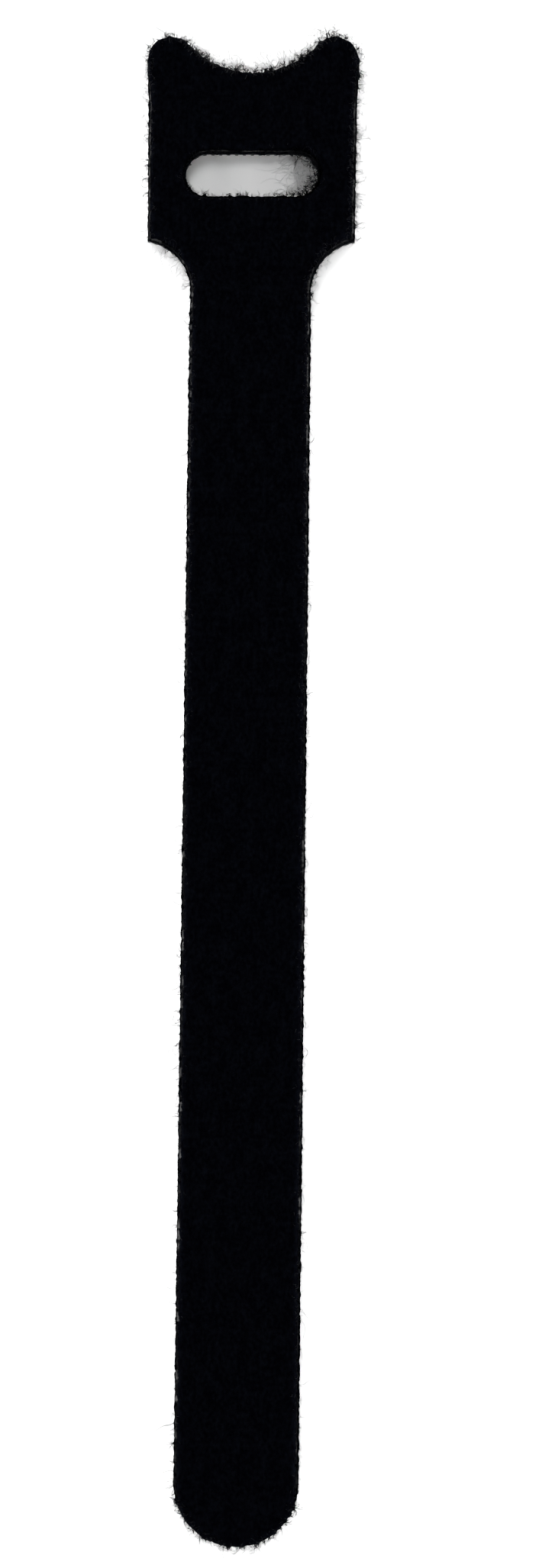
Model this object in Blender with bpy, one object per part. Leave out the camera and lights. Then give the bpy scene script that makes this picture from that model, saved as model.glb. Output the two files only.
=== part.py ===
"""Hook and loop cable tie: a napped loop tape bonded on a moulded hook tape, cut out together.

The tie lies flat along Y with its slotted head at +Y, the loops up and the hooks down.
X = 0 is its middle line, Y = 0 the middle of its length, and the hook tips stand on Z = 0.
"""

import math

import bmesh
import bpy

# Outline, in metres
TIE_LENGTH = 0.150
STRAP_WIDTH = 0.012
HEAD_WIDTH = 0.0209
HEAD_LENGTH = 0.0207
HORN_RADIUS = 0.00215
NOTCH_DEPTH = 0.0037
SHOULDER_SLOPE = math.radians(10)

# Slot that the strap's own end is threaded through, as a length across the head and a width
SLOT_LENGTH = 0.0134
SLOT_WIDTH = 0.0044
SLOT_BELOW_HORNS = 0.0139

# Hook tape: a film with lengthwise rows of hooks, each row drawn as one ridge
HOOK_HEIGHT = 0.00055
FILM_THICKNESS = 0.00025
ROW_PITCH = 0.0008
ROW_TIP_WIDTH = 0.0003
ROW_ROOT_WIDTH = 0.00038

# Loop tape: a knitted ground, bare and fused along every cut edge, and a rounded pad of pile
GROUND_THICKNESS = 0.0003
FUSED_RIM_WIDTH = 0.00035
PILE_HEIGHT = 0.0009
PILE_ROUNDING = 0.0005
PILE_LEAN = 0.00006

# Facets of the round stretches
TIP_STEPS = 28
SHOULDER_STEPS = 9
HORN_STEPS = 12
NOTCH_STEPS = 16
SLOT_END_STEPS = 12
PILE_STEPS = 3

# The two tapes meet at one height, where they are bonded
BOND_HEIGHT = HOOK_HEIGHT + FILM_THICKNESS
CUT_MARGIN = 0.001


def clear_scene():
    for item in list(bpy.context.scene.objects):
        bpy.data.objects.remove(item, do_unlink=True)


def make_material(name, colour, roughness):
    material = bpy.data.materials.new(name)
    material.use_nodes = True
    shader = material.node_tree.nodes["Principled BSDF"]
    shader.inputs["Base Color"].default_value = (*colour, 1.0)
    shader.inputs["Roughness"].default_value = roughness
    shader.inputs["Metallic"].default_value = 0.0
    return material


def arc(centre, radius, start, end, steps):
    """Points from angle start to angle end, in radians, with both ends."""
    points = []
    for step in range(steps + 1):
        angle = start + (end - start) * step / steps
        x = centre[0] + radius * math.cos(angle)
        y = centre[1] + radius * math.sin(angle)
        points.append((x, y))
    return points


def right_half_outline():
    """From the lowest point of the strap's round end, up the +X side, to the notch's lowest point."""
    top = TIE_LENGTH / 2
    strap_side = STRAP_WIDTH / 2
    head_side = HEAD_WIDTH / 2

    tip_centre = (0.0, strap_side - TIE_LENGTH / 2)
    tip = arc(tip_centre, strap_side, -math.pi / 2, 0.0, TIP_STEPS // 2)

    # The shoulder leaves the strap along Y and meets the head's side at its slope
    shoulder_radius = (head_side - strap_side) / (1 - math.sin(SHOULDER_SLOPE))
    corner = top - HEAD_LENGTH
    shoulder_centre = (strap_side + shoulder_radius, corner - shoulder_radius * math.cos(SHOULDER_SLOPE))
    shoulder = arc(shoulder_centre, shoulder_radius, math.pi, math.pi / 2 + SHOULDER_SLOPE, SHOULDER_STEPS)

    # The notch is one arc that runs on smoothly into the round horns on both sides
    horn_centre = (head_side - HORN_RADIUS, top - HORN_RADIUS)
    drop = HORN_RADIUS - NOTCH_DEPTH
    notch_radius = (horn_centre[0] ** 2 + drop ** 2 - HORN_RADIUS ** 2) / (2 * NOTCH_DEPTH)
    notch_centre = (0.0, top - NOTCH_DEPTH + notch_radius)
    rise = notch_centre[1] - horn_centre[1]
    meeting_angle = math.atan2(rise, -horn_centre[0])
    horn = arc(horn_centre, HORN_RADIUS, 0.0, meeting_angle, HORN_STEPS)
    notch = arc(notch_centre, notch_radius, meeting_angle - math.pi, -math.pi / 2, NOTCH_STEPS // 2)
    return tip + shoulder + horn + notch[1:]


def tie_outline():
    """The cut outline, anticlockwise from above, with the -X side as the mirror of the +X side."""
    right = right_half_outline()
    left = [(-x, y) for x, y in reversed(right[1:-1])]
    return right + left


def slot_outline():
    """The slot's outline: two straight sides across the head and two half-round ends."""
    radius = SLOT_WIDTH / 2
    reach = SLOT_LENGTH / 2 - radius
    middle = TIE_LENGTH / 2 - SLOT_BELOW_HORNS
    right = arc((reach, middle), radius, -math.pi / 2, math.pi / 2, SLOT_END_STEPS)
    left = arc((-reach, middle), radius, math.pi / 2, 3 * math.pi / 2, SLOT_END_STEPS)
    return right + left


def add_loop(shape, points, height):
    """A closed ring of edges through the points at one height."""
    corners = [shape.verts.new((x, y, height)) for x, y in points]
    return [shape.edges.new((corners[i - 1], corners[i])) for i in range(len(corners))]


def cut_slab(bottom, top):
    """A closed slab with the tie's outline and its slot, and the faces of its upper side."""
    shape = bmesh.new()
    edges = add_loop(shape, tie_outline(), bottom) + add_loop(shape, slot_outline(), bottom)
    filled = bmesh.ops.triangle_fill(shape, edges=edges, use_beauty=True)
    floor = [item for item in filled["geom"] if isinstance(item, bmesh.types.BMFace)]
    raised = bmesh.ops.extrude_face_region(shape, geom=floor)["geom"]
    for item in raised:
        if isinstance(item, bmesh.types.BMVert):
            item.co.z = top
    bmesh.ops.recalc_face_normals(shape, faces=shape.faces)
    upper = [item for item in raised if isinstance(item, bmesh.types.BMFace)]
    return shape, upper


def step_in(shape, faces, inset, height):
    """Narrows the faces by an inset all round and lifts them to a height."""
    bmesh.ops.inset_region(shape, faces=faces, thickness=inset, use_boundary=True, use_even_offset=True)
    for corner in {corner for face in faces for corner in face.verts}:
        corner.co.z = height


def finish_object(shape, name, material):
    mesh = bpy.data.meshes.new(name)
    shape.to_mesh(mesh)
    shape.free()
    mesh.materials.append(material)
    item = bpy.data.objects.new(name, mesh)
    bpy.context.scene.collection.objects.link(item)
    return item


def make_loop_tape():
    """The upper tape: its bare fused rim lies lower than the pad of pile, round the slot as well."""
    ground_top = BOND_HEIGHT + GROUND_THICKNESS
    shape, upper = cut_slab(BOND_HEIGHT, ground_top)
    step_in(shape, upper, FUSED_RIM_WIDTH, ground_top)
    step_in(shape, upper, PILE_LEAN, ground_top + PILE_HEIGHT - PILE_ROUNDING)
    turned = 0.0
    for step in range(1, PILE_STEPS + 1):
        angle = math.pi / 2 * step / PILE_STEPS
        reach = PILE_ROUNDING * (1 - math.cos(angle))
        height = ground_top + PILE_HEIGHT - PILE_ROUNDING * (1 - math.sin(angle))
        step_in(shape, upper, reach - turned, height)
        turned = reach
    material = make_material("black_nylon_loop_pile", (0.0045, 0.005, 0.006), 0.95)
    return finish_object(shape, "loop_tape", material)


def make_groove_cutter():
    """Bars of the grooves between the rows of hooks, wider at the open side, longer than the tie."""
    rows = math.floor(HEAD_WIDTH / 2 / ROW_PITCH) + 1
    tip_gap = (ROW_PITCH - ROW_TIP_WIDTH) / 2
    root_gap = (ROW_PITCH - ROW_ROOT_WIDTH) / 2
    flare = (tip_gap - root_gap) / HOOK_HEIGHT
    open_gap = tip_gap + flare * CUT_MARGIN
    reach = TIE_LENGTH / 2 + CUT_MARGIN
    shape = bmesh.new()
    for row in range(-rows, rows):
        middle = (row + 0.5) * ROW_PITCH
        section = (
            (middle - open_gap, -CUT_MARGIN),
            (middle + open_gap, -CUT_MARGIN),
            (middle + root_gap, HOOK_HEIGHT),
            (middle - root_gap, HOOK_HEIGHT),
        )
        face = shape.faces.new([shape.verts.new((x, -reach, z)) for x, z in section])
        far_end = bmesh.ops.extrude_face_region(shape, geom=[face])["geom"]
        for item in far_end:
            if isinstance(item, bmesh.types.BMVert):
                item.co.y = reach
    bmesh.ops.recalc_face_normals(shape, faces=shape.faces)
    cutter = finish_object(shape, "groove_cutter", make_material("cutter", (0.5, 0.5, 0.5), 0.5))
    cutter.hide_render = True
    cutter.display_type = "WIRE"
    return cutter


def make_hook_tape():
    """The lower tape: the film that carries the rows, with the grooves between them cut out."""
    shape, _ = cut_slab(0.0, BOND_HEIGHT)
    material = make_material("black_moulded_hook_nylon", (0.006, 0.0065, 0.0075), 0.5)
    tape = finish_object(shape, "hook_tape", material)
    cut = tape.modifiers.new("grooves", "BOOLEAN")
    cut.operation = "DIFFERENCE"
    cut.solver = "EXACT"
    cut.object = make_groove_cutter()
    return tape


def main():
    clear_scene()
    make_loop_tape()
    make_hook_tape()


main()
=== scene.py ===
"""Looks of a flat hook and loop cable tie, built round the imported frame.

The frame gives the outline, the slot, the levels of the two tapes and the rows of hooks. Here the
upper tape becomes napped nylon loops with a heat-cut edge, and the lower one a film with hooks.
All lengths are in metres: MM and MICRON turn a size into them. A name that ends in _MM holds plain
millimetres.
"""

import math

import bmesh
import bpy
import numpy as np
from mathutils import Matrix, Vector, geometry, kdtree, noise

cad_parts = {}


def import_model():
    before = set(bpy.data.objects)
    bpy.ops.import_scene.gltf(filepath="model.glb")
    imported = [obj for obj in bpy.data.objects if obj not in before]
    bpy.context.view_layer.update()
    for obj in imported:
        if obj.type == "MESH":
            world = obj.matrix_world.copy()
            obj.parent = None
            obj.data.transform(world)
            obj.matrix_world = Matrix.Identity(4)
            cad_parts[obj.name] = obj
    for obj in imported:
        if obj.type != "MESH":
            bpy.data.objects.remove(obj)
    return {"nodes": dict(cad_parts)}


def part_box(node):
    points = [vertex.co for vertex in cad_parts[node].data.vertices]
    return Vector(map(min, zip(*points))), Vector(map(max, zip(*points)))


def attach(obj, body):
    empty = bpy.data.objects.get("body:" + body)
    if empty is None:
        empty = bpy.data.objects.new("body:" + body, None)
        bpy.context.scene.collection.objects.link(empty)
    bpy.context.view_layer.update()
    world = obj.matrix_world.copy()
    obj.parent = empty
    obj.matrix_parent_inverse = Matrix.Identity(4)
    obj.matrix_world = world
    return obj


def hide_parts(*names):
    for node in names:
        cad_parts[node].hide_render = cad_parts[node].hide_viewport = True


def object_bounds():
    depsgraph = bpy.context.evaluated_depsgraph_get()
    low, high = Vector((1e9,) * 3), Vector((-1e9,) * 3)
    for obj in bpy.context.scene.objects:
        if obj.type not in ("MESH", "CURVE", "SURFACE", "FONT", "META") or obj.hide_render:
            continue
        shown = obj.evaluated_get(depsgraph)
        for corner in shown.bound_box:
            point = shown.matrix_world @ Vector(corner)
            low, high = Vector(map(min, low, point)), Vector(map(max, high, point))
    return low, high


MM = 0.001
MICRON = 0.000001

# Every random draw starts from this number
SEED = 2055

# Places along and across the tie, which main fills in from the frame
SHAPE = {}

# The notched end, the horns and the round end begin this far in from the tie's own limits
NOTCHED_END = 4.2 * MM
HORN_WIDTH = 4.5 * MM
ROUND_END = 4.5 * MM

# Camera: almost straight above, a little nearer to the strap's round end than to the head
CAMERA_AIM = Vector((3.31, -0.63, 2.0)) * MM
CAMERA_DISTANCE = 250 * MM
CAMERA_TILT = math.radians(3.84)
CAMERA_YAW = math.radians(-1.43)
CAMERA_ROLL = math.radians(-0.65)
CAMERA_LENS_MM = 57.98
SENSOR_MM = 36.0

# Light: a white tent, bright all round and black overhead, and a soft key from beyond the head
TENT_SIDE_LEVEL = 5.6
TENT_TOP_LEVEL = 0.0
TENT_EDGE_HEIGHTS = (0.36, 0.43)
LAMP_DISTANCE = 0.6
KEY_AZIMUTH = 112
KEY_ELEVATION = 52
KEY_SIZE = 0.22
KEY_SHARE = 0.11

# Floor: the white that the camera sees, over 1 to make up for the dark overhead, and its bounce
FLOOR_SIZE = 6.0
FLOOR_WHITE = 2.65
FLOOR_BOUNCE = 0.8

# Knit of the loop tape: columns of stitches across the strap, rows of stitches along it
STITCH_COLUMN = 0.85 * MM
STITCH_ROW = 1.13 * MM
STITCH_RELIEF = 0.03 * MM

# Nap: the width and length of a coarse and a fine grain, and the fine one's share
NAP_RELIEF = 0.065 * MM
NAP_COARSE = (0.38 * MM, 1.3 * MM)
NAP_FINE = (0.2 * MM, 0.45 * MM)
NAP_FINE_SHARE = 0.6

# Rim: how wide it is bare, how far the pile's edge scallops and frays over it, and its own lumps
RIM_WIDTH = 0.3 * MM
FUZZY_RIM_WIDTH = 0.06 * MM
RIM_SCALLOP = 0.07 * MM
RIM_FRAY = 0.06 * MM
RIM_FRAY_SIZE = 0.3 * MM
RIM_LUMPS = 0.015 * MM

# Edge of the pile: it rises steeply by a share of its height, and is round above that
PILE_STEEP = 0.35
PILE_ROUNDING = 0.5 * MM

# Each use of noise has a level of its own, so that no two patterns match
NAP_NOISE = 7.3
FRAY_NOISE = 3.1
PATCH_NOISE = 2.9
LUMP_NOISE = 8.1

# Mesh of the pile: rings along the cut edges, and a grid finer across the nap than along it
RING_STEP = 0.17 * MM
RING_DEPTHS = tuple(depth * MM for depth in (0.12, 0.24, 0.31, 0.37, 0.43, 0.5, 0.59, 0.7, 0.84))
RING_CLEARANCE = 0.93
SKIN_STEP_X = 0.18 * MM
SKIN_STEP_Y = 0.26 * MM
SKIN_CLEARANCE = 0.08 * MM

# Loops of the pile: low arches combed along the tie, with their feet in the nap
LOOP_SPACING = 0.55 * MM
LOOP_THICKNESS = 26 * MICRON
LOOP_STEPS = 5
LOOP_TURN = 0.35
LOOP_REACH_MM = (0.13, 0.36)
LOOP_RISE_MM = (0.08, 0.2)
LOOP_LEAN_MM = 0.1
LOOP_WAVER_MM = 0.02
LOOP_FOOT = 0.03 * MM

# Nap along the cut edges: loops and loose fibres, of which many large ones are bundles
EDGE_NAP_REACH = 0.9 * MM
EDGE_NAP_LEAST = 0.04 * MM
NAP_SPACING = 0.2 * MM
NAP_THICKNESS = 36 * MICRON
NAP_REACH_MM = (0.08, 0.22)
NAP_RISE_MM = (0.03, 0.1)
NAP_OVER_RIM = 0.1 * MM
NAP_LARGE = 1.15
NAP_BUNDLE = 2.4
NAP_BUNDLE_SHARE = 0.5

# That nap's density, how far it turns from straight outwards, and its relative size
NAP_TRAITS = {
    "slot_below": (0.5, 0.6, 0.8),
    "slot_above": (0.15, 1.2, 0.8),
    "horns": (0.9, 1.0, 1.0),
    "notch": (1.3, 0.4, 1.2),
    "round_end": (0.7, 0.9, 1.0),
    "head_right": (1.2, 1.2, 1.1),
    "head_left": (0.5, 1.2, 0.9),
    "strap_right": (0.8, 1.2, 0.9),
    "strap_left": (0.5, 1.2, 0.9),
}
NOTCH_NAP_FROM = 1.5 * MM
HORN_NAP_FROM = 2.5 * MM

# The strap's nap is worn thin towards the round end: places along it, and the share left there
WORN_PLACES_MM = (-70, -20, 40)
WORN_SHARES = (0.2, 0.5, 1.0)

# Stretches of the cut edges that have fibres of their own
NECK_LENGTH = 6 * MM
STRAP_END_LENGTH = 7 * MM
SLOT_SIDE_FROM = 1 * MM
SLOT_END_FROM = 4 * MM

# Fibres out of the cut edges: up to half as thick again as a real 0.03 mm filament, so as to show
TUFT_FIBRES = {"notch_fuzz": 3, "head_fuzz": 3, "slot_fuzz": 3, "strap_fuzz": 2}
TUFT_LEAN = 0.5
TUFT_CURL = (0.1, 1.2)
FIBRE_LEAN = 0.25
FIBRE_CURL = 0.25
FIBRE_RISE = (0.1, 0.3)
SHARPEST_TURN = 0.9
CALM_STEPS = 8
WAY_WANDER = 0.2
CURL_WANDER = 0.3
RISE_WANDER = 0.25
RISE_KEPT = 0.8
FIBRE_LENGTHS_MM = (0.5, 1.2, 2.4)
FIBRE_THICKNESSES = (45 * MICRON, 36 * MICRON, 26 * MICRON)
FIBRE_STRIDE = 0.085 * MM
FIBRE_LEVELS = (0.05 * MM, 2.9 * MM)
FIBRE_ROOT_MM = 0.1
FIBRE_BELOW_TOP = 0.1 * MM
LENGTH_EVENNESS = 4.0
LONGEST_FIBRE = 2.0
THICKNESS_RANGE = (0.7, 1.2)
CLUMP_SIZE = 0.5 * MM
CLUMP_MEAN = 0.75
CLUMP_SWING = 1.1
CLUMP_LIMITS = (0.25, 1.4)

# Beads of melted nylon along the cut edge: each slopes down outwards, as the hot die leaves it
BEAD_INSET = 0.2 * MM
LEFT_BEAD_INSET = 0.24 * MM
RIGHT_BEAD_INSET = 0.26 * MM
BEAD_WIDTH = 0.3 * MM
BEAD_SLOPE = 0.62
BEAD_STEP = 0.07 * MM
BEAD_GAIN = 1.5
BEAD_SIZES = (0.3, 1.05)
BEAD_SHIFT_MM = 0.05
BEAD_NECK = 0.55
BEAD_SWELL = 0.45
LEAST_BEAD = 0.05
BEAD_LUMP_SIZE = 0.3 * MM
BEAD_PATCH_SIZE = 2.2 * MM
BEAD_SECTION = ((-0.5, -0.25), (-0.44, 0.85), (-0.34, 1.0), (0.06, 0.5), (0.46, 0.0), (0.53, -0.25))
NO_BEAD_DROP = 0.03 * MM

# Relative width of the beads, and the share of a stitch row that each fills: over 1, they join
BEAD_WIDTHS = {"ends": 0.5, "slot": 0.35, "head_left": 0.65, "left": 1.15, "right": 0.75}
BEAD_FILL = 1.05

# Relative height of the beads at places along the tie, and how far patches of them vary it
BEAD_PLACES_MM = (-75, -47, -35, -15, 0, 17, 25, 38, 48)
BEAD_HEIGHTS = (0.3, 0.5, 0.85, 0.85, 0.6, 0.6, 1.1, 1.8, 1.8)
BEAD_PATCH_LIMITS = (0.1, 1.3)

# Beads on the strap's left: taller towards the round end, and apart from each other near the head
LEFT_BEAD_PLACES_MM = (-60, -30)
LEFT_BEAD_GAINS = (2.0, 0.9)
LEFT_FILL_PLACES_MM = (-20, 20)
LEFT_FILLS = (0.9, 0.48)

# In the slot beads show only this far above its middle, and outside they fade out at both ends
SLOT_BEADS_FROM = 1.5 * MM
HEAD_BEADS_FROM = 2 * MM
HORN_FADE_END = 0.5 * MM
HORN_FADE = 3 * MM
ROUND_END_FADE = 2 * MM

# The brushed pile spreads over the cut: on the strap, not at the neck, most at the notched end
SIDE_SPREAD = 0.12 * MM
NOTCH_SPREAD = 0.3 * MM
NECK_SPREAD_FROM = 8 * MM
NOTCH_SPREAD_FROM = 2 * MM
NOTCH_SPREAD_FULL = 1 * MM

# The cut side wavers in and out in tufts, more where it is napped, as it is round the slot too
NAPPED_WAVER = 0.2 * MM
STRAIGHT_WAVER = 0.1 * MM
WAVER_INWARD = 0.05 * MM
WAVER_SIZE = 0.5 * MM
SMALL_WAVER_SIZE = 0.23 * MM
SMALL_WAVER_SHARE = 0.6
SLOT_SURROUND = (8 * MM, 3 * MM)

# Hooks, each a stem whose head spreads to both sides and turns back towards the film
HOOK_SPACING = 0.65 * MM
HOOK_ROOT = 0.03 * MM
STEM_WIDTH = 0.15 * MM
STEM_DEPTH = 0.2 * MM
HOOK_HEAD_HEIGHT = 0.09 * MM
HOOK_ARM_REACH = 0.1 * MM
HOOK_ARM_DROP = 0.08 * MM
HOOK_SIZES = (0.95, 1.03)
HOOK_SHIFT_MM = 0.008
ROW_END_MARGIN = 0.25 * MM
FULL_ROW_SHARE = 0.8


def linear(code):
    """An sRGB hex colour as linear red, green, blue and alpha."""
    parts = [int(code[start:start + 2], 16) / 255 for start in (1, 3, 5)]
    return (*[p / 12.92 if p <= 0.04045 else ((p + 0.055) / 1.055) ** 2.4 for p in parts], 1.0)


def activate(piece):
    bpy.ops.object.select_all(action="DESELECT")
    piece.select_set(True)
    bpy.context.view_layer.objects.active = piece


# Shapes read from the frame


def levels(node):
    """The heights at which the node has corners, lowest first."""
    heights = np.array([corner.co.z for corner in node.data.vertices])
    return np.unique(np.round(heights, 6))


def section_loops(node, height):
    """Closed loops of points, in X and Y, where the node is cut at a height."""
    shape = bmesh.new()
    shape.from_mesh(node.data)
    bmesh.ops.remove_doubles(shape, verts=shape.verts, dist=MICRON)
    parts = shape.verts[:] + shape.edges[:] + shape.faces[:]
    bmesh.ops.bisect_plane(shape, geom=parts, plane_co=(0, 0, height), plane_no=(0, 0, 1),
                           clear_inner=True, clear_outer=True)
    left = dict.fromkeys(shape.edges)
    loops = []
    while left:
        edge = next(iter(left))
        here = edge.verts[0]
        points = []
        while edge:
            del left[edge]
            points.append(here.co.xy[:])
            here = edge.other_vert(here)
            edge = next((other for other in here.link_edges if other in left), None)
        loops.append(np.array(points))
    shape.free()
    return loops


def signed_area(loop):
    ahead = np.roll(loop, -1, axis=0)
    return 0.5 * float(np.sum(loop[:, 0] * ahead[:, 1] - ahead[:, 0] * loop[:, 1]))


def resample(loop, spacing):
    """Points at even spacing round a closed loop, and the total length."""
    closed = np.vstack([loop, loop[:1]])
    run = np.concatenate([[0], np.cumsum(np.linalg.norm(np.diff(closed, axis=0), axis=1))])
    count = max(8, round(run[-1] / spacing))
    places = np.arange(count) * run[-1] / count
    points = np.stack([np.interp(places, run, closed[:, axis]) for axis in (0, 1)], axis=1)
    return points, run[-1]


class Rim:
    """One cut edge of the tie, resampled finely, with the direction that leaves the material."""

    SPACING = 0.05 * MM
    SMOOTH = 5

    def __init__(self, loop, is_hole):
        if (signed_area(loop) < 0) != is_hole:
            loop = loop[::-1]
        start = int(np.lexsort((loop[:, 0], loop[:, 1]))[0])
        self.points, self.length = resample(np.roll(loop, -start, axis=0), self.SPACING)
        self.is_hole = is_hole
        ahead = np.roll(self.points, -self.SMOOTH, axis=0)
        behind = np.roll(self.points, self.SMOOTH, axis=0)
        along = (ahead - behind) / np.linalg.norm(ahead - behind, axis=1, keepdims=True)
        self.outward = np.stack([along[:, 1], -along[:, 0]], axis=1)

    def spread_pile(self):
        """Moves the edge out to where the brushed pile reaches."""
        if not self.is_hole:
            neck, notch = SHAPE["shoulder"], SHAPE["notch"]
            places = (neck - NECK_SPREAD_FROM, neck,
                      notch - NOTCH_SPREAD_FROM, notch + NOTCH_SPREAD_FULL)
            spreads = (SIDE_SPREAD, 0.0, SIDE_SPREAD, NOTCH_SPREAD)
            spread = np.interp(self.points[:, 1], places, spreads)
            self.points = self.points + self.outward * spread[:, None]

    def at(self, places):
        """Points and outward directions at distances along the edge."""
        index = np.floor(places / self.length * len(self.points)).astype(int) % len(self.points)
        return self.points[index], self.outward[index]


def inside(points, loops):
    """Which points lie inside an odd number of the loops."""
    odd = np.zeros(len(points), dtype=bool)
    for loop in loops:
        for (x0, y0), (x1, y1) in zip(loop, np.roll(loop, -1, axis=0)):
            if y0 != y1:
                crosses = (y0 > points[:, 1]) != (y1 > points[:, 1])
                odd ^= crosses & (points[:, 0] < (x1 - x0) * (points[:, 1] - y0) / (y1 - y0) + x0)
    return odd


def edge_finder(rims):
    """A tree of all edge points, to ask how far a point is from the nearest cut."""
    points = np.vstack([rim.points for rim in rims])
    tree = kdtree.KDTree(len(points))
    for index, (x, y) in enumerate(points):
        tree.insert((x, y, 0.0), index)
    tree.balance()
    return tree


# Meshes


def add_piece(name, mesh, material):
    piece = bpy.data.objects.new(name, mesh)
    bpy.context.scene.collection.objects.link(piece)
    piece.data.materials.clear()
    piece.data.materials.append(material)
    return piece


def copy_node(node, name, material):
    """A new piece with the node's shape, its loose triangles joined."""
    piece = add_piece(name, node.data.copy(), material)
    activate(piece)
    bpy.ops.object.mode_set(mode="EDIT")
    bpy.ops.mesh.select_all(action="SELECT")
    bpy.ops.mesh.remove_doubles(threshold=MICRON)
    bpy.ops.object.mode_set(mode="OBJECT")
    return piece


def unit(vectors):
    return vectors / np.maximum(np.linalg.norm(vectors, axis=-1, keepdims=True), 1e-12)


def filament_mesh(paths, thickness, tip_share=0.6):
    """Corners and faces of thin three-sided tubes along paths: fibres by points by axes."""
    sides = 3
    count, steps = paths.shape[:2]
    along = unit(np.gradient(paths, axis=1))
    least = np.eye(3)[np.argmin(np.abs(along[:, 0]), axis=1)]
    across = np.empty_like(paths)
    across[:, 0] = unit(np.cross(along[:, 0], least))
    for step in range(1, steps):
        carried = across[:, step - 1]
        lean = np.sum(carried * along[:, step], axis=1, keepdims=True)
        across[:, step] = unit(carried - lean * along[:, step])
    beside = np.cross(along, across)
    taper = np.linspace(1.0, tip_share, steps)[None, :, None]
    radius = np.reshape(thickness, (-1, 1, 1)) / 2 * taper
    rings = []
    for side in range(sides):
        turn = 2 * math.pi * side / sides
        rings.append(paths + radius * (math.cos(turn) * across + math.sin(turn) * beside))
    vertices = np.stack(rings, axis=2).reshape(-1, 3)
    first = (np.arange(count) * steps * sides)[:, None, None]
    ring = first + (np.arange(steps - 1) * sides)[None, :, None]
    side = np.arange(sides)[None, None, :]
    after = (side + 1) % sides
    edges = (ring + side, ring + after, ring + sides + after, ring + sides + side)
    quads = np.stack(edges, axis=-1)
    roots = first[:, 0] + np.arange(sides)[::-1]
    tips = first[:, 0] + (steps - 1) * sides + np.arange(sides)
    return vertices, quads.reshape(-1, 4), np.vstack([roots, tips])


def join_filaments(name, groups, material):
    """One piece of all the groups of tubes."""
    vertices, faces = [], []
    start = 0
    for corners, quads, ends in groups:
        vertices.append(corners)
        faces += (quads + start).tolist() + (ends + start).tolist()
        start += len(corners)
    mesh = bpy.data.meshes.new(name)
    mesh.from_pydata(np.vstack(vertices), [], faces)
    mesh.shade_smooth()
    return add_piece(name, mesh, material)


# The loop tape


def noise_at(x, y, size, level=0.0):
    """Smooth noise with lumps of the size."""
    return noise.noise(Vector((x, y, level)) / size)


def nap(x, y):
    """Relief of the napped pile: combed along the tie, over the stitches of the knit."""
    coarse = noise.noise(Vector((x / NAP_COARSE[0], y / NAP_COARSE[1], 0.0)))
    fine = noise.noise(Vector((x / NAP_FINE[0], y / NAP_FINE[1], NAP_NOISE)))
    stagger = math.pi * (round(x / STITCH_COLUMN) % 2)
    across = math.cos(2 * math.pi * x / STITCH_COLUMN)
    along = math.cos(2 * math.pi * y / STITCH_ROW + stagger)
    return NAP_RELIEF * (coarse + NAP_FINE_SHARE * fine) + STITCH_RELIEF * 0.5 * (across + along)


def upper_height(x, y, tree, rims, ground_top, pile_top):
    """Height of the loop tape's upper side: its bare fused rim, then the pile with a round edge."""
    _, index, distance = tree.find((x, y, 0.0))
    run = edge_run(rims, index)
    scallop = 0.5 + 0.5 * math.cos(2 * math.pi * run / STITCH_ROW)
    fray = noise_at(x, y, RIM_FRAY_SIZE, FRAY_NOISE)
    straight = index >= len(rims[0].points) or SHAPE["tip"] < y < SHAPE["notch"]
    bare = RIM_WIDTH if straight else FUZZY_RIM_WIDTH
    depth = distance - bare - RIM_SCALLOP * scallop - RIM_FRAY * fray
    if depth <= 0:
        return ground_top + RIM_LUMPS * fray
    curve = min(depth / PILE_ROUNDING, 1.0)
    rise = PILE_STEEP + (1 - PILE_STEEP) * math.sqrt(1 - (1 - curve) ** 2)
    return ground_top + (pile_top - ground_top) * rise + min(curve * 2, 1.0) * nap(x, y)


def edge_run(rims, index):
    """The distance along its own rim of a point that the edge tree numbers."""
    for rim in rims:
        if index < len(rim.points):
            break
        index -= len(rim.points)
    return index * rim.length / len(rim.points)


def edge_waver(x, y):
    """How far the cut side stands out of its true line, in tufts of some tenths of a millimetre."""
    by_slot = abs(x) < SLOT_SURROUND[0] and abs(y - SHAPE["slot"]) < SLOT_SURROUND[1]
    straight = SHAPE["tip"] < y < SHAPE["notch"] and not by_slot
    tufts = noise_at(x, y, WAVER_SIZE) + SMALL_WAVER_SHARE * noise_at(x, y, SMALL_WAVER_SIZE)
    return max(tufts * (STRAIGHT_WAVER if straight else NAPPED_WAVER), -WAVER_INWARD)


def skin_points(rims, loops, tree):
    """Points for the upper skin: rings that follow each cut edge, then a fine staggered grid."""
    rings = []
    for rim in rims:
        count = round(rim.length / RING_STEP)
        rings.append(rim.at((np.arange(count) + 0.5) * rim.length / count))
    outer = []
    for points, outward in rings:
        waver = np.array([edge_waver(x, y) for x, y in points])
        outer.append(points + outward * waver[:, None])
    inner = []
    for depth in RING_DEPTHS:
        for points, outward in rings:
            moved = points - outward * depth
            clear = [tree.find((x, y, 0.0))[2] > RING_CLEARANCE * depth for x, y in moved]
            inner.append(moved[np.array(clear)])
    low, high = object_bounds()
    across = np.arange(low.x, high.x, SKIN_STEP_X)
    along = np.arange(low.y, high.y, SKIN_STEP_Y)
    grid = np.stack(np.meshgrid(across, along), axis=-1)
    grid[1::2, :, 0] += SKIN_STEP_X / 2
    grid = grid.reshape(-1, 2)
    grid = grid[inside(grid, loops)]
    least = RING_DEPTHS[-1] + SKIN_CLEARANCE
    clear = [tree.find((x, y, 0.0))[2] > least for x, y in grid]
    return outer, np.vstack(inner + [grid[np.array(clear)]])


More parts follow.
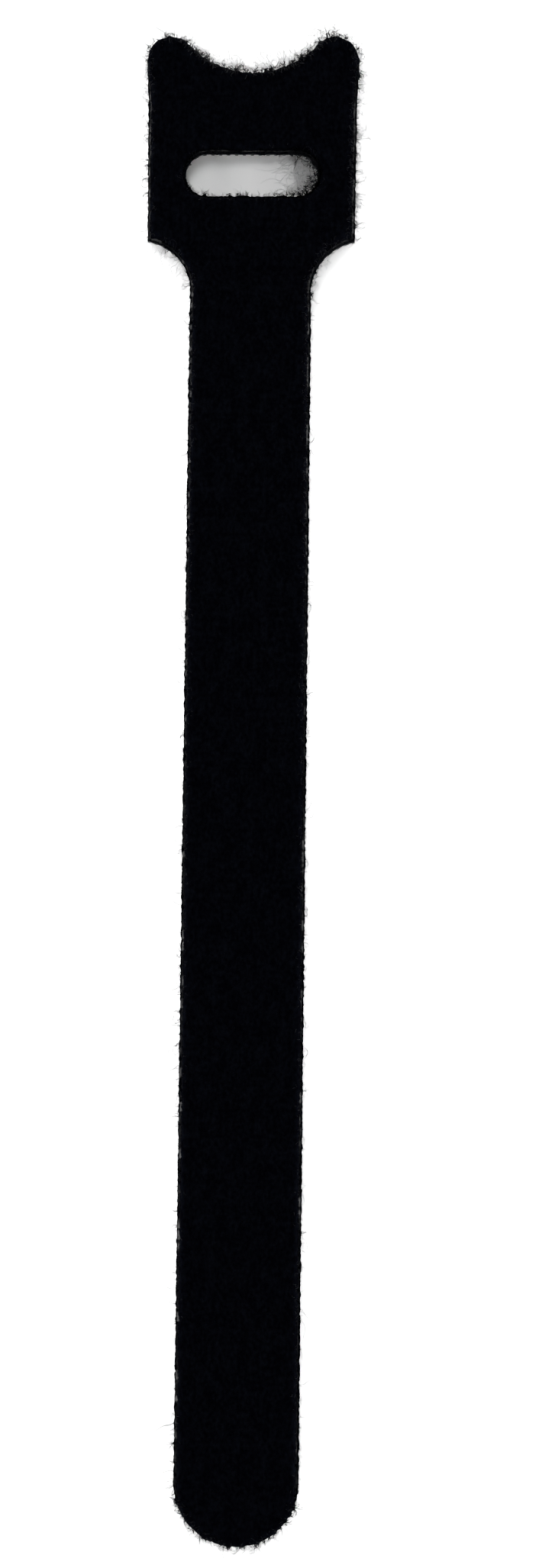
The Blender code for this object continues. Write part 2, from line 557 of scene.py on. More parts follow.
def triangulate(outer, inner):
    """Triangles between the closed outer rings, holes left open, with the points' final places."""
    points = [Vector(point) for point in np.vstack(outer + [inner])]
    starts = np.cumsum([0] + [len(ring) for ring in outer])
    faces = [list(range(start, start + len(ring))) for start, ring in zip(starts, outer)]
    faces = [face if signed_area(ring) > 0 else face[::-1] for face, ring in zip(faces, outer)]
    found = geometry.delaunay_2d_cdt(points, [], faces, 0, 1e-7, True)
    places, triangles, origins, owners = found[0], found[2], found[3], found[5]
    kept = [triangle for triangle, owner in zip(triangles, owners) if list(owner) == [0]]
    moved_to = {old: new for new, olds in enumerate(origins) for old in olds}
    rings = [[moved_to[number] for number in face] for face in faces]
    return places, kept, rings


def make_loop_face(rims, loops, tree, heights, material):
    """The loop tape as one closed skin: its pile, fused rim, cut side and flat back."""
    bottom, ground_top, pile_top = heights
    outer, inner = skin_points(rims, loops, tree)
    places, triangles, rings = triangulate(outer, inner)
    on_ring = {number for ring in rings for number in ring}
    vertices = []
    for number, (x, y) in enumerate(places):
        if number in on_ring:
            vertices.append((x, y, ground_top))
        else:
            vertices.append((x, y, upper_height(x, y, tree, rims, ground_top, pile_top)))
    faces = [tuple(triangle) for triangle in triangles]
    below = {}
    for number in on_ring:
        below[number] = len(vertices)
        x, y = places[number]
        vertices.append((x, y, bottom))
    for ring in rings:
        for here, ahead in zip(ring, ring[1:] + ring[:1]):
            faces.append((below[here], below[ahead], ahead, here))
    mesh = bpy.data.meshes.new("loop_face")
    mesh.from_pydata(vertices, [], faces)
    shape = bmesh.new()
    shape.from_mesh(mesh)
    open_edges = [edge for edge in shape.edges if edge.is_boundary]
    bmesh.ops.triangle_fill(shape, edges=open_edges, use_beauty=True)
    bmesh.ops.recalc_face_normals(shape, faces=shape.faces)
    shape.to_mesh(mesh)
    shape.free()
    face = add_piece("loop_face", mesh, material)
    activate(face)
    bpy.ops.object.shade_smooth_by_angle(angle=math.radians(60))
    return face


def loop_paths(places, bases, turn, reach, rise, random):
    """Low arches of filament over the places, each turned its own way."""
    count = len(places)
    lean = random.normal(0.0, LOOP_LEAN_MM, count) * MM
    phase = np.linspace(0, math.pi, LOOP_STEPS)[None, :]
    forward = -reach[:, None] * np.cos(phase)
    waver = random.normal(0, LOOP_WAVER_MM, (count, LOOP_STEPS)) * MM
    sideways = lean[:, None] * np.sin(phase) + waver
    ahead, aside = np.cos(turn)[:, None], np.sin(turn)[:, None]
    paths = np.empty((count, LOOP_STEPS, 3))
    paths[:, :, 0] = places[:, :1] + forward * ahead - sideways * aside
    paths[:, :, 1] = places[:, 1:] + forward * aside + sideways * ahead
    paths[:, :, 2] = bases[:, None] - LOOP_FOOT + rise[:, None] * np.sin(phase)
    return paths


def scatter(loops, spacing, random):
    """Jittered places all over the tie."""
    low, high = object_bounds()
    across = np.arange(low.x, high.x, spacing)
    along = np.arange(low.y, high.y, spacing)
    places = np.stack(np.meshgrid(across, along), axis=-1).reshape(-1, 2)
    places = places + random.uniform(-0.6, 0.6, places.shape) * spacing
    return places[inside(places, loops)]


def make_pile_loops(loops, tree, pile_top, material, random):
    """Fine nylon loops that stand out of the nap, combed along the tie."""
    places = scatter(loops, LOOP_SPACING, random)
    clear = [tree.find((x, y, 0.0))[2] > EDGE_NAP_REACH for x, y in places]
    places = places[np.array(clear)]
    count = len(places)
    bases = np.array([pile_top + nap(x, y) for x, y in places])
    turn = random.normal(math.pi / 2, LOOP_TURN, count)
    reach = random.uniform(*LOOP_REACH_MM, count) * MM
    rise = random.uniform(*LOOP_RISE_MM, count) * MM
    paths = loop_paths(places, bases, turn, reach, rise, random)
    tubes = filament_mesh(paths, LOOP_THICKNESS, tip_share=1.0)
    return join_filaments("pile_loops", [tubes], material)


def make_edge_nap(rims, loops, tree, heights, material, random):
    """Loops and loose fibres over the pile's edge and the fused rim, which catch the light, with a
    paler painted sheen in their material's colour.
    """
    _, ground_top, pile_top = heights
    places = scatter(loops, NAP_SPACING, random)
    kept, turns, sizes = [], [], []
    outward = np.vstack([rim.outward for rim in rims])
    for x, y in places:
        _, index, depth = tree.find((x, y, 0.0))
        dense, spread, size = nap_traits(x, y, index, rims)
        share = dense * (1 - depth / EDGE_NAP_REACH)
        if EDGE_NAP_LEAST < depth < EDGE_NAP_REACH and random.uniform() < share:
            kept.append((x, y))
            straight = math.atan2(outward[index, 1], outward[index, 0])
            turns.append(straight + random.normal(0, spread))
            sizes.append(size)
    count = len(kept)
    sizes = np.array(sizes)
    reach = random.uniform(*NAP_REACH_MM, count) * MM * sizes
    rise = random.uniform(*NAP_RISE_MM, count) * MM * sizes
    paths = loop_paths(np.array(kept), np.zeros(count), np.array(turns), reach, rise, random)
    for path in paths:
        for point in path:
            below = upper_height(point[0], point[1], tree, rims, ground_top, pile_top)
            point[2] += max(below, ground_top + NAP_OVER_RIM)
    bundled = (sizes > NAP_LARGE) & (random.uniform(size=count) < NAP_BUNDLE_SHARE)
    thickness = NAP_THICKNESS * np.where(bundled, NAP_BUNDLE, 1.0)
    tubes = filament_mesh(paths, thickness, tip_share=1.0)
    return join_filaments("edge_nap", [tubes], material)


def nap_traits(x, y, index, rims):
    """The traits of the nap at a place, with the number of the edge point nearest to it."""
    if index >= len(rims[0].points):
        return NAP_TRAITS["slot_below" if y < SHAPE["slot"] else "slot_above"]
    if y > SHAPE["notch"] - NOTCH_NAP_FROM:
        return NAP_TRAITS["horns" if abs(x) > SHAPE["horn"] + HORN_NAP_FROM else "notch"]
    if y < SHAPE["tip"]:
        return NAP_TRAITS["round_end"]
    if y > SHAPE["shoulder"] - NECK_LENGTH:
        return NAP_TRAITS["head_right" if x > 0 else "head_left"]
    dense, spread, size = NAP_TRAITS["strap_right" if x > 0 else "strap_left"]
    return dense * np.interp(y / MM, WORN_PLACES_MM, WORN_SHARES), spread, size


def edge_regions(rims):
    """Stretches of the cut edges: fibres to a millimetre, their length and bend radius in mm."""
    outer, slot = rims
    x, y = outer.points[:, 0], outer.points[:, 1]
    slot_x, slot_y = slot.points[:, 0], slot.points[:, 1]
    shoulder, tip = SHAPE["shoulder"], SHAPE["tip"]
    left, right = x < 0, x > 0
    end = y > SHAPE["notch"]
    horn = end & (np.abs(x) > SHAPE["horn"])
    notch = end & ~horn
    head = (y > shoulder) & (y < SHAPE["notch"])
    neck = (y < shoulder) & (y > shoulder - NECK_LENGTH)
    strap = (y < shoulder - NECK_LENGTH) & (y > tip)
    strap_end = strap & (y < tip + STRAP_END_LENGTH)
    below = slot_y < SHAPE["slot"] - SLOT_SIDE_FROM
    above = slot_y > SHAPE["slot"] + SLOT_SIDE_FROM
    slot_left, slot_right = slot_x < -SLOT_END_FROM, slot_x > SLOT_END_FROM
    return {
        "notch_fuzz": (
            (outer, notch, 40, 0.75, 0.2),
            (outer, notch, 20, 1.9, 0.3),
            (outer, notch, 32, 0.25, 0.12),
            (outer, horn & left, 32, 0.6, 0.18),
            (outer, horn & left, 13, 1.3, 0.25),
            (outer, horn & right, 34, 0.7, 0.18),
            (outer, horn & right, 17, 2.0, 0.3)),
        "head_fuzz": (
            (outer, head & left, 3, 0.4, 0.16),
            (outer, head & left, 9, 1.2, 0.3),
            (outer, head & right, 13, 0.5, 0.16),
            (outer, head & right, 11, 1.9, 0.35),
            (outer, neck & right, 20, 0.3, 0.16),
            (outer, neck & right, 26, 0.9, 0.22),
            (outer, neck & left, 1.5, 0.35, 0.16),
            (outer, neck & left, 13, 1.7, 0.3)),
        "slot_fuzz": (
            (slot, below, 32, 0.3, 0.14),
            (slot, below, 6, 0.75, 0.2),
            (slot, slot_right, 10, 0.45, 0.2),
            (slot, slot_right, 30, 1.3, 0.4),
            (slot, slot_right, 44, 2.9, 0.8),
            (slot, slot_left, 12, 0.35, 0.16),
            (slot, above, 42, 0.27, 0.14),
            (slot, above, 4, 0.7, 0.2)),
        "strap_fuzz": (
            (outer, strap & left, 2.2, 0.3, 0.16),
            (outer, strap & left, 1.8, 0.9, 0.3),
            (outer, strap & right, 2.2, 0.3, 0.16),
            (outer, strap & right, 1.4, 1.2, 0.3),
            (outer, strap_end & left, 7, 0.7, 0.2),
            (outer, strap_end & right, 3, 0.8, 0.2),
            (outer, y < tip, 30, 0.27, 0.12),
            (outer, y < tip, 22, 0.6, 0.18),
            (outer, y < tip, 4, 1.5, 0.3)),
    }


def make_edge_fuzz(name, regions, loops, heights, material, random):
    """The cut and pulled filaments round the edge, denser and longer in clumps."""
    _, ground_top, pile_top = heights
    tuft = TUFT_FIBRES[name]
    groups = []
    for rim, where, per_mm, length, radius in regions:
        chosen = np.flatnonzero(where)
        clump = np.array([noise_at(*rim.points[number], CLUMP_SIZE) for number in chosen])
        clump = np.clip(CLUMP_MEAN + CLUMP_SWING * clump, *CLUMP_LIMITS)
        stretch = len(chosen) * rim.length / len(rim.points)
        tufts = math.ceil(stretch / MM * per_mm / tuft)
        count = tufts * tuft
        drawn = np.repeat(random.choice(len(chosen), tufts, p=clump / clump.sum()), tuft)
        drawn = np.clip(drawn + random.integers(-1, 2, count), 0, len(chosen) - 1)
        varied = random.gamma(LENGTH_EVENNESS, 1 / LENGTH_EVENNESS, count)
        varied = np.minimum(varied, LONGEST_FIBRE)
        size = (0.4 + 0.8 * clump[drawn]) * varied
        points, outward = rim.points[chosen[drawn]], rim.outward[chosen[drawn]]
        level = random.uniform(ground_top, pile_top - FIBRE_BELOW_TOP, count)
        paths = curl_paths(points, outward, level, length * size * MM, radius * MM, tuft, random)
        paths = paths[~inside(paths[:, -1, :2], loops)]
        typical = np.interp(length, FIBRE_LENGTHS_MM, FIBRE_THICKNESSES)
        thickness = typical * random.uniform(*THICKNESS_RANGE, len(paths))
        groups.append(filament_mesh(paths, thickness, tip_share=0.8))
    return join_filaments(name, groups, material)


def curl_paths(points, outward, heights, lengths, radius, tuft, random):
    """Fibres that leave the edge, wander and curl, as cut and pulled filaments do."""
    count = len(points)
    steps = max(5, math.ceil(float(lengths.mean()) / FIBRE_STRIDE))
    stride = lengths / (steps - 1)
    paths = np.empty((count, steps, 3))
    paths[:, 0] = np.column_stack([points - outward * FIBRE_ROOT_MM * MM, heights])
    tufts = count // tuft
    lean = np.repeat(random.normal(0, TUFT_LEAN, tufts), tuft)
    curl = random.choice([-1.0, 1.0], tufts) * random.uniform(*TUFT_CURL, tufts)
    curl = np.repeat(curl, tuft)
    way = np.arctan2(outward[:, 1], outward[:, 0]) + lean + random.normal(0, FIBRE_LEAN, count)
    bend = (curl + random.normal(0, FIBRE_CURL, count)) / radius
    rise = random.normal(*FIBRE_RISE, count)
    calm = min(1.0, math.sqrt(CALM_STEPS / steps))
    for step in range(1, steps):
        turn = np.clip(bend * stride, -SHARPEST_TURN, SHARPEST_TURN)
        way = way + turn + random.normal(0, WAY_WANDER * calm, count)
        bend = bend + random.normal(0, CURL_WANDER * calm, count) / radius
        rise = rise * RISE_KEPT + random.normal(0, RISE_WANDER, count)
        flat = np.cos(rise)
        move = np.column_stack([np.cos(way) * flat, np.sin(way) * flat, np.sin(rise)])
        paths[:, step] = paths[:, step - 1] + move * stride[:, None]
    paths[:, :, 2] = np.clip(paths[:, :, 2], *FIBRE_LEVELS)
    return paths


def bead_traits(rim, points, outward):
    """The share of a stitch row that each bead fills, its relative width and height, its inset."""
    y = points[:, 1]
    fill = np.full(len(points), BEAD_FILL)
    width = np.full(len(points), BEAD_WIDTHS["ends"])
    height = np.interp(y / MM, BEAD_PLACES_MM, BEAD_HEIGHTS)
    inset = np.full(len(points), BEAD_INSET)
    patches = [noise_at(*point, BEAD_PATCH_SIZE, PATCH_NOISE) for point in points]
    height = height * np.clip(0.8 + 1.1 * np.array(patches), *BEAD_PATCH_LIMITS)
    if rim.is_hole:
        height[y < SHAPE["slot"] + SLOT_BEADS_FROM] = 0.0
        width[:] = BEAD_WIDTHS["slot"]
        return fill * 1.5, width, height * 0.7, inset
    neck = SHAPE["shoulder"] - HEAD_BEADS_FROM
    width[(y > neck) & (outward[:, 0] < 0)] = BEAD_WIDTHS["head_left"]
    left = (y < neck) & (outward[:, 0] < -0.7)
    height[left] *= np.interp(y[left] / MM, LEFT_BEAD_PLACES_MM, LEFT_BEAD_GAINS)
    fill[left] = np.interp(y[left] / MM, LEFT_FILL_PLACES_MM, LEFT_FILLS)
    width[left] = BEAD_WIDTHS["left"]
    inset[left] = LEFT_BEAD_INSET
    right = outward[:, 0] > 0.7
    width[right] = BEAD_WIDTHS["right"]
    inset[right] = RIGHT_BEAD_INSET
    near_horns = np.clip((SHAPE["notch"] + HORN_FADE_END - y) / HORN_FADE, 0, 1)
    near_tip = np.clip((y - SHAPE["tip"] + ROUND_END_FADE * left) / ROUND_END_FADE, 0, 1)
    return fill, width, height * near_horns * near_tip, inset


def make_fused_beads(rims, ground_top, material, random):
    """The line of melted nylon along each cut edge: it swells into a bead at each stitch row."""
    section = np.array(BEAD_SECTION)
    around = len(section)
    vertices = []
    faces = []
    for rim in rims:
        count = round(rim.length / BEAD_STEP)
        places = np.arange(count) * rim.length / count
        points, outward = rim.at(places)
        fill, broad, tall, inset = bead_traits(rim, points, outward)
        beads = round(rim.length / STITCH_ROW)
        along = places / rim.length * beads
        bead = np.floor(along).astype(int) % beads
        size = BEAD_GAIN * random.uniform(*BEAD_SIZES, beads)[bead] ** 2 * tall
        shift = random.normal(0, BEAD_SHIFT_MM, beads)[bead] * MM
        within = np.clip((along % 1.0 - 0.5) / fill * 2, -1, 1)
        lumps = np.array([noise_at(*point, BEAD_LUMP_SIZE, LUMP_NOISE) for point in points])
        window = np.sqrt(1 - within ** 2) * np.clip(0.85 + 0.8 * lumps, 0.2, 1.2)
        width = BEAD_WIDTH * broad * (BEAD_NECK + BEAD_SWELL * window)
        height = BEAD_SLOPE * width * np.maximum(LEAST_BEAD, window * size)
        level = ground_top - NO_BEAD_DROP * (tall == 0)
        middle = points - outward * (inset + shift * window)[:, None]
        start = sum(len(block) for block in vertices)
        ring = np.empty((count, around, 3))
        for corner, (across, up) in enumerate(section):
            ring[:, corner, :2] = middle + (across * width)[:, None] * outward
            ring[:, corner, 2] = level + up * height
        vertices.append(ring.reshape(-1, 3))
        for index in range(count):
            here = start + index * around
            ahead = start + (index + 1) % count * around
            for corner in range(around):
                beyond = (corner + 1) % around
                faces.append((here + corner, ahead + corner, ahead + beyond, here + beyond))
    mesh = bpy.data.meshes.new("fused_beads")
    mesh.from_pydata(np.vstack(vertices), [], faces)
    piece = add_piece("fused_beads", mesh, material)
    activate(piece)
    bpy.ops.object.mode_set(mode="EDIT")
    bpy.ops.mesh.select_all(action="SELECT")
    bpy.ops.mesh.normals_make_consistent(inside=False)
    bpy.ops.object.mode_set(mode="OBJECT")
    bpy.ops.object.shade_smooth_by_angle(angle=math.radians(45))
    return piece


# The hook tape


def make_hook_film(node, underside, material):
    """The film alone: the frame's tape with its rows cut off at the film's underside."""
    piece = copy_node(node, "hook_film", material)
    bpy.ops.object.mode_set(mode="EDIT")
    bpy.ops.mesh.select_all(action="SELECT")
    bpy.ops.mesh.bisect(plane_co=(0, 0, underside), plane_no=(0, 0, 1), clear_inner=True,
                        use_fill=False)
    bpy.ops.object.mode_set(mode="OBJECT")
    return piece


def select_faces(mesh, wanted):
    """Selects only the faces whose centre and normal pass the test."""
    bpy.ops.object.mode_set(mode="OBJECT")
    for corner in mesh.vertices:
        corner.select = False
    for edge in mesh.edges:
        edge.select = False
    for face in mesh.polygons:
        face.select = wanted(face.center, face.normal)
    bpy.ops.object.mode_set(mode="EDIT")


def model_hook(underside):
    """One hook at the origin, hanging from the film: stem, head, and an arm back on each side."""
    root = underside + HOOK_ROOT
    neck = HOOK_HEAD_HEIGHT
    bpy.ops.object.select_all(action="DESELECT")
    bpy.ops.mesh.primitive_cube_add(size=1.0, location=(0, 0, (root + neck) / 2))
    hook = bpy.context.object
    bpy.ops.object.mode_set(mode="EDIT")
    bpy.ops.mesh.select_mode(type="FACE")
    bpy.ops.transform.resize(value=(STEM_WIDTH, STEM_DEPTH, root - neck))
    bpy.ops.object.mode_set(mode="OBJECT")
    bpy.ops.object.transform_apply(location=True, rotation=True, scale=True)
    mesh = hook.data
    select_faces(mesh, lambda centre, normal: normal.z > 0.9)
    bpy.ops.transform.resize(value=(1.5, 1.1, 1.0))
    select_faces(mesh, lambda centre, normal: normal.z < -0.9)
    bpy.ops.mesh.extrude_region_move(TRANSFORM_OT_translate={"value": (0, 0, -neck)})
    bpy.ops.transform.resize(value=(0.85, 0.8, 1.0))
    for side in (-1, 1):
        select_faces(mesh, lambda centre, normal: normal.x * side > 0.7 and centre.z < neck)
        outward = (side * HOOK_ARM_REACH, 0, 0.1 * HOOK_ARM_DROP)
        bpy.ops.mesh.extrude_region_move(TRANSFORM_OT_translate={"value": outward})
        bpy.ops.transform.resize(value=(1.0, 0.85, 0.85))
        turned = (side * 0.5 * HOOK_ARM_REACH, 0, HOOK_ARM_DROP)
        bpy.ops.mesh.extrude_region_move(TRANSFORM_OT_translate={"value": turned})
        bpy.ops.transform.resize(value=(0.5, 0.7, 0.5))
    bpy.ops.mesh.select_all(action="SELECT")
    bpy.ops.mesh.normals_make_consistent(inside=False)
    bpy.ops.object.mode_set(mode="OBJECT")
    corners = np.array([corner.co[:] for corner in mesh.vertices])
    faces = np.array([face.vertices[:] for face in mesh.polygons])
    bpy.data.objects.remove(hook, do_unlink=True)
    return corners, faces


def make_hooks(rows, underside, material, random):
    """Hooks along each row of the frame's hook tape, every other row set half a step along."""
    corners, faces = model_hook(underside)
    full_width = max(np.ptp(row[:, 0]) for row in rows)
    places = []
    for row in rows:
        width = np.ptp(row[:, 0])
        if width < FULL_ROW_SHARE * full_width:
            continue
        middle = (row[:, 0].min() + row[:, 0].max()) / 2
        first = row[:, 1].min() + ROW_END_MARGIN
        last = row[:, 1].max() - ROW_END_MARGIN
        half_step = 0.5 * (round(middle / full_width) % 2)
        start = math.ceil(first / HOOK_SPACING - half_step)
        steps = np.arange(start, last / HOOK_SPACING - half_step)
        places += [(middle, (step + half_step) * HOOK_SPACING) for step in steps]
    places = np.array(places)
    count = len(places)
    size = random.uniform(*HOOK_SIZES, (count, 1, 1))
    vertices = np.repeat(corners[None], count, axis=0)
    vertices[:, :, :2] *= size
    shift = random.normal(0, HOOK_SHIFT_MM, (count, 1, 2)) * MM
    vertices[:, :, :2] += places[:, None, :] + shift
    shifted = faces[None] + (np.arange(count) * len(corners))[:, None, None]
    mesh = bpy.data.meshes.new("hooks")
    mesh.from_pydata(vertices.reshape(-1, 3), [], shifted.reshape(-1, 4).tolist())
    piece = add_piece("hooks", mesh, material)
    activate(piece)
    bpy.ops.object.shade_smooth_by_angle(angle=math.radians(50))
    return piece


# Materials


def node(tree, kind, settings=None, inputs=None):
    """Adds a node, sets its settings, and sets or links its inputs."""
    added = tree.nodes.new(kind)
    for name, value in (settings or {}).items():
        setattr(added, name, value)
    for name, value in (inputs or {}).items():
        if isinstance(value, bpy.types.NodeSocket):
            tree.links.new(value, added.inputs[name])
        else:
            added.inputs[name].default_value = value
    return added


def new_material(name):
    material = bpy.data.materials.new(name)
    material.use_nodes = True
    tree = material.node_tree
    tree.nodes.clear()
    return material, tree


def finish_material(tree, shader):
    node(tree, "ShaderNodeOutputMaterial", inputs={"Surface": shader.outputs[0]})


def object_place(tree, scale_x, scale_y, scale_z):
    """Object coordinates counted in cells of the given sizes."""
    place = node(tree, "ShaderNodeTexCoord")
    cells = (1 / scale_x, 1 / scale_y, 1 / scale_z)
    return node(tree, "ShaderNodeMapping", inputs={
        "Vector": place.outputs["Object"], "Scale": cells})


def mixed_colour(tree, factor, dark, light, start=0.35, end=0.75):
    """A colour that turns from dark to light as the factor goes from start to end."""
    ramp = node(tree, "ShaderNodeValToRGB", inputs={"Fac": factor})
    ramp.color_ramp.elements[0].color = linear(dark)
    ramp.color_ramp.elements[1].color = linear(light)
    ramp.color_ramp.elements[0].position = start
    ramp.color_ramp.elements[1].position = end
    return ramp.outputs["Color"]


def napped_nylon():
    """Dyed black nylon loop pile, brushed: dead matt, with darker and paler flecks."""
    material, tree = new_material("napped_black_nylon_loop")

    # Flecks are tufts of loops, and patches are about two stitches of the knit
    flecks = node(tree, "ShaderNodeTexNoise", inputs={
        "Vector": object_place(tree, 0.36 * MM, 0.5 * MM, 1 * MM).outputs[0],
        "Scale": 1.0, "Detail": 2.0})
    patches = node(tree, "ShaderNodeTexNoise", inputs={
        "Vector": object_place(tree, 1.1 * MM, 2.0 * MM, 2 * MM).outputs[0],
        "Scale": 1.0, "Detail": 1.0})
    tone = node(tree, "ShaderNodeMix", {"data_type": "FLOAT"}, {
        "Factor": 0.35, "A": flecks.outputs["Fac"], "B": patches.outputs["Fac"]})

    # Strands are drawn twice as wide as a real filament of 0.03 mm, so that they show
    strands = node(tree, "ShaderNodeTexNoise", inputs={
        "Vector": object_place(tree, 0.06 * MM, 0.35 * MM, 0.3 * MM).outputs[0],
        "Scale": 1.0, "Detail": 2.0})
    bump = node(tree, "ShaderNodeBump", inputs={
        "Height": strands.outputs["Fac"], "Strength": 0.6, "Distance": 0.05 * MM})
    shader = node(tree, "ShaderNodeBsdfPrincipled", inputs={
        "Base Color": mixed_colour(tree, tone.outputs[0], "#010104", "#07090f", 0.41, 0.66),
        "Roughness": 0.95, "Specular IOR Level": 0.01,
        "Normal": bump.outputs["Normal"]})
    finish_material(tree, shader)
    return material


def nylon_filament():
    """Drawn black nylon filament, some hundredths of a millimetre thick: smooth, slightly shiny."""
    material, tree = new_material("drawn_black_nylon_filament")
    tone = node(tree, "ShaderNodeTexNoise", inputs={
        "Vector": object_place(tree, 0.4 * MM, 0.4 * MM, 0.4 * MM).outputs[0],
        "Scale": 1.0, "Detail": 1.0})
    shader = node(tree, "ShaderNodeBsdfPrincipled", inputs={
        "Base Color": mixed_colour(tree, tone.outputs["Fac"], "#030408", "#090a0e"),
        "Roughness": 0.5, "Specular IOR Level": 0.06})
    finish_material(tree, shader)
    return material


def sheen_painted_loops():
    """Nylon loops that the cutting raised, coloured paler than flat nap: a painted sheen for the
    light they catch when turned to it.
    """
    material, tree = new_material("black_nylon_loops_painted_sheen")
    tone = node(tree, "ShaderNodeTexNoise", inputs={
        "Vector": object_place(tree, 0.4 * MM, 0.4 * MM, 0.4 * MM).outputs[0],
        "Scale": 1.0, "Detail": 1.0})
    shader = node(tree, "ShaderNodeBsdfPrincipled", inputs={
        # Painted sheen: a base colour paler than the pile's, standing for light these loops catch
        "Base Color": mixed_colour(tree, tone.outputs["Fac"], "#06070a", "#1c1d21", 0.4, 0.65),
        "Roughness": 0.5, "Specular IOR Level": 0.1})
    finish_material(tree, shader)
    return material


def melted_nylon():
    """Nylon melted and set by the hot cutting die: a glossy, uneven bead that catches the light."""
    material, tree = new_material("melted_black_nylon_edge")
    lumps = node(tree, "ShaderNodeTexNoise", inputs={
        "Vector": object_place(tree, 0.15 * MM, 0.15 * MM, 0.15 * MM).outputs[0],
        "Scale": 1.0, "Detail": 2.0})
    bump = node(tree, "ShaderNodeBump", inputs={
        "Height": lumps.outputs["Fac"], "Strength": 0.5, "Distance": 0.03 * MM})
    shader = node(tree, "ShaderNodeBsdfPrincipled", inputs={
        "Base Color": mixed_colour(tree, lumps.outputs["Fac"], "#07080b", "#141519"),
        "Roughness": 0.36, "Specular IOR Level": 0.34, "Normal": bump.outputs["Normal"]})
    finish_material(tree, shader)
    return material


def moulded_nylon():
    """Injection-moulded black nylon of the hook film and hooks: satin, with faint flow marks."""
    material, tree = new_material("moulded_black_nylon")
    flow = node(tree, "ShaderNodeTexNoise", inputs={
        "Vector": object_place(tree, 0.5 * MM, 4 * MM, 0.5 * MM).outputs[0],
        "Scale": 1.0, "Detail": 2.0})
    bump = node(tree, "ShaderNodeBump", inputs={
        "Height": flow.outputs["Fac"], "Strength": 0.2, "Distance": 0.02 * MM})
    shader = node(tree, "ShaderNodeBsdfPrincipled", inputs={
        "Base Color": mixed_colour(tree, flow.outputs["Fac"], "#0b0c0f", "#15161a"),
        "Roughness": 0.42, "Specular IOR Level": 0.4, "Normal": bump.outputs["Normal"]})
    finish_material(tree, shader)
    return material


def floor_paper():
    """White paper sweep: plain white with the tie's shadow to the camera, softer in its bounce."""
    material, tree = new_material("white_paper")
    path = node(tree, "ShaderNodeLightPath")
    seen = node(tree, "ShaderNodeMath", {"operation": "MAXIMUM"}, {
        0: path.outputs["Is Camera Ray"], 1: path.outputs["Is Glossy Ray"]})
    seen = node(tree, "ShaderNodeMath", {"operation": "MAXIMUM"}, {
        0: seen.outputs[0], 1: path.outputs["Is Transmission Ray"]})
    bounce = node(tree, "ShaderNodeBsdfDiffuse", inputs={"Color": (FLOOR_BOUNCE,) * 3 + (1,)})
    shown = node(tree, "ShaderNodeBsdfDiffuse", inputs={"Color": (FLOOR_WHITE,) * 3 + (1,)})
    mix = node(tree, "ShaderNodeMixShader", inputs={
        0: seen.outputs[0], 1: bounce.outputs[0], 2: shown.outputs[0]})
    finish_material(tree, mix)
    return material


# Studio


def add_camera():
    data = bpy.data.cameras.new("camera")
    data.lens = CAMERA_LENS_MM
    data.sensor_width = SENSOR_MM
    data.clip_start = 1 * MM
    camera = bpy.data.objects.new("camera", data)
    bpy.context.scene.collection.objects.link(camera)
    look = Vector((math.sin(CAMERA_YAW) * math.cos(CAMERA_TILT), math.sin(CAMERA_TILT),
                   -math.cos(CAMERA_YAW) * math.cos(CAMERA_TILT)))
    right = look.cross(Vector((math.sin(CAMERA_ROLL), math.cos(CAMERA_ROLL), 0))).normalized()
    place = Matrix((right, right.cross(look), -look)).transposed().to_4x4()
    place.translation = CAMERA_AIM - look * CAMERA_DISTANCE
    camera.matrix_world = place
    bpy.context.scene.camera = camera


def add_lamp(name, azimuth, elevation, size, share):
    """A square soft lamp that gives a floor patch below it the stated share of full white light."""
    lamp = bpy.data.lights.new(name, "AREA")
    lamp.shape = "SQUARE"
    lamp.size = size
    height = math.radians(elevation)
    lamp.energy = share * (math.pi * LAMP_DISTANCE) ** 2 / math.sin(height)
    item = bpy.data.objects.new(name, lamp)
    bpy.context.scene.collection.objects.link(item)
    turn = math.radians(azimuth)
    flat = math.cos(height)
    away = Vector((math.cos(turn) * flat, math.sin(turn) * flat, math.sin(height)))
    item.location = away * LAMP_DISTANCE
    item.rotation_mode = "QUATERNION"
    item.rotation_quaternion = away.to_track_quat("Z", "Y")


def add_tent():
    """A white light tent: bright all round up to a third of the way up, and black above that."""
    world = bpy.data.worlds.new("light_tent")
    bpy.context.scene.world = world
    world.use_nodes = True
    tree = world.node_tree
    tree.nodes.clear()
    place = node(tree, "ShaderNodeTexCoord")
    height = node(tree, "ShaderNodeSeparateXYZ", inputs={"Vector": place.outputs["Generated"]})
    level = node(tree, "ShaderNodeMapRange", inputs={
        "Value": height.outputs["Z"],
        "From Min": TENT_EDGE_HEIGHTS[0], "From Max": TENT_EDGE_HEIGHTS[1],
        "To Min": TENT_SIDE_LEVEL, "To Max": TENT_TOP_LEVEL})
    background = node(tree, "ShaderNodeBackground", inputs={"Strength": level.outputs["Result"]})
    node(tree, "ShaderNodeOutputWorld", inputs={"Surface": background.outputs[0]})


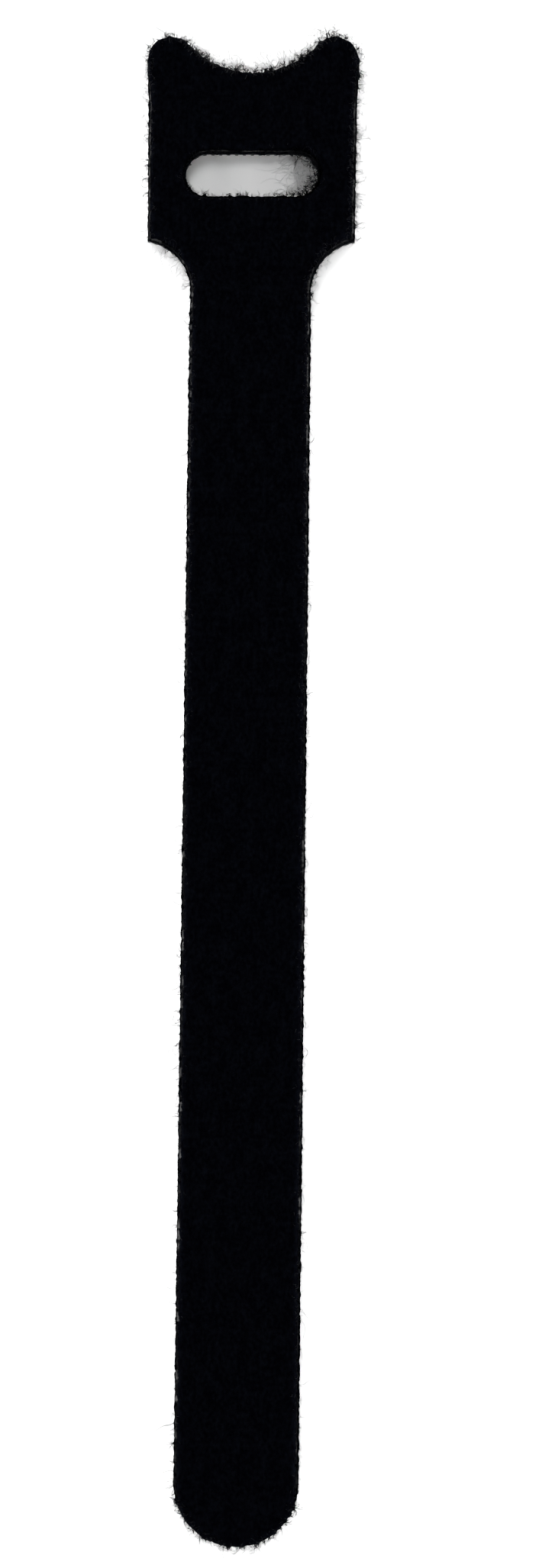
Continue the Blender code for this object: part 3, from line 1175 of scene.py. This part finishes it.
def add_studio():
    add_tent()
    add_lamp("key_lamp", KEY_AZIMUTH, KEY_ELEVATION, KEY_SIZE, KEY_SHARE)
    bpy.ops.mesh.primitive_plane_add(size=FLOOR_SIZE, location=(0, 0, 0))
    floor = bpy.context.object
    floor.name = "floor"
    floor.data.materials.append(floor_paper())
    bpy.context.scene.view_settings.view_transform = "Standard"


def main():
    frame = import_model()
    cad_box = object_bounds()
    loop_tape = frame["nodes"]["loop_tape"]
    hook_tape = frame["nodes"]["hook_tape"]
    bond, ground_top = levels(loop_tape)[:2]
    underside = levels(hook_tape)[1]
    pile_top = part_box("loop_tape")[1].z

    loops = section_loops(loop_tape, (bond + ground_top) / 2)
    loops.sort(key=lambda loop: -abs(signed_area(loop)))
    rims = [Rim(loop, is_hole=index > 0) for index, loop in enumerate(loops)]
    outline = rims[0].points
    head_side = outline[:, 0].max()
    SHAPE["shoulder"] = float(outline[outline[:, 0] > head_side - 0.1 * MM, 1].min())
    SHAPE["slot"] = float(rims[1].points[:, 1].mean())
    SHAPE["notch"] = float(cad_box[1].y) - NOTCHED_END
    SHAPE["horn"] = float(head_side) - HORN_WIDTH
    SHAPE["tip"] = float(cad_box[0].y) + ROUND_END
    for rim in rims:
        rim.spread_pile()
    loops = [rim.points[::4] for rim in rims]
    tree = edge_finder(rims)
    rows = section_loops(hook_tape, underside / 2)

    pile = napped_nylon()
    filament = nylon_filament()
    # The edge nap's material is painted paler than the pile, a painted sheen
    sheen_painted = sheen_painted_loops()
    melted = melted_nylon()
    moulded = moulded_nylon()

    heights = (bond, ground_top, pile_top)
    face = make_loop_face(rims, loops, tree, heights, pile)
    pile_loops = make_pile_loops(loops, tree, pile_top, pile, np.random.default_rng(SEED))
    edge_nap = make_edge_nap(rims, loops, tree, heights, sheen_painted, np.random.default_rng(SEED + 2))
    soft = [pile_loops, edge_nap]
    random = np.random.default_rng(SEED + 1)
    for name, regions in edge_regions(rims).items():
        soft.append(make_edge_fuzz(name, regions, loops, heights, filament, random))
    beads = make_fused_beads(rims, ground_top, melted, np.random.default_rng(SEED + 3))
    film = make_hook_film(hook_tape, underside, moulded)
    hooks = make_hooks(rows, underside, moulded, np.random.default_rng(SEED + 4))

    soft.append(beads)
    for piece in (face, *soft, film, hooks):
        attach(piece, "root")
    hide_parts("loop_tape")
    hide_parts("hook_tape")

    add_studio()
    add_camera()


main()
